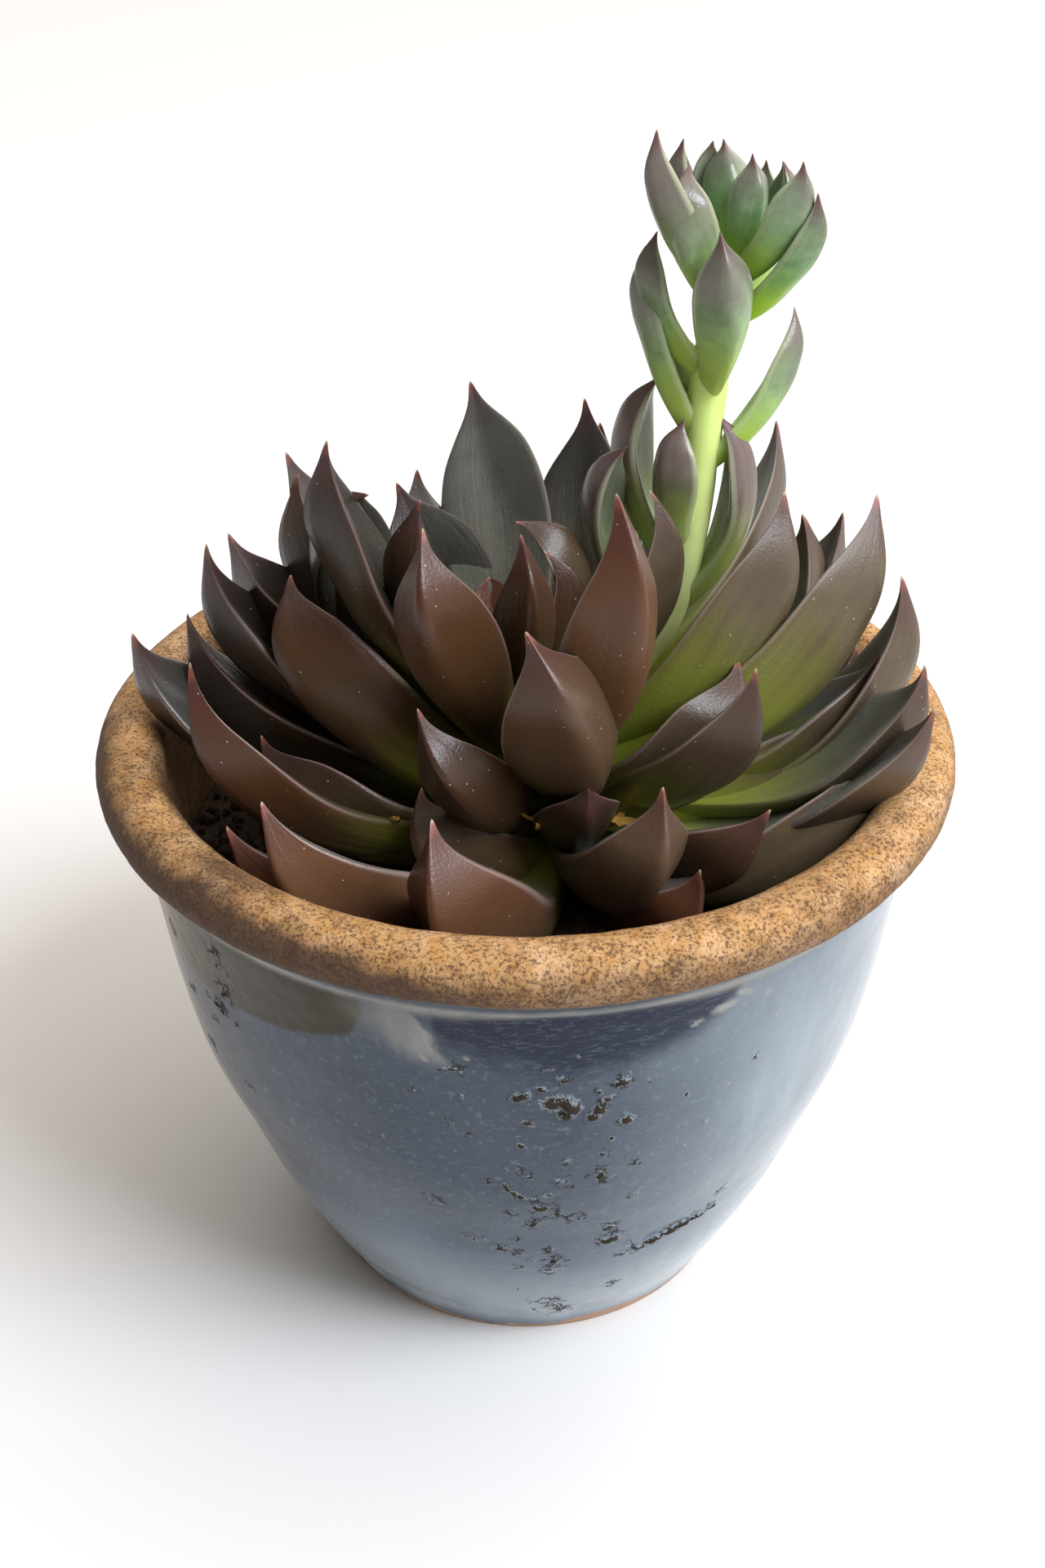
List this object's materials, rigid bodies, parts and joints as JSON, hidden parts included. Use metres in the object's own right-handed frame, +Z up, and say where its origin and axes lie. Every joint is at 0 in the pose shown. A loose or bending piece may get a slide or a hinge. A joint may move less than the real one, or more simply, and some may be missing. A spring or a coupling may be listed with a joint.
{
  "type": "potted echeveria",
  "caption": "Dark rosette succulent with a leafy green flower stalk, growing in a round footed planter with a thick rolled rim.",
  "frame": {"origin": "middle of the pot's foot, on the surface that it stands on", "axes": "+Z up; +X to the right and +Y away from the viewer of the side that the picture shows"},
  "size_m": [0.165, 0.165, 0.2369],
  "materials": {
    "pot": "gloss",
    "soil": "matte",
    "rosette": "satin",
    "flower_stalk": "satin"
  },
  "bodies": {
    "root": {"pot": "pot", "soil": "soil", "rosette": "rosette", "flower_stalk": "flower_stalk"}
  },
  "joints": []
}
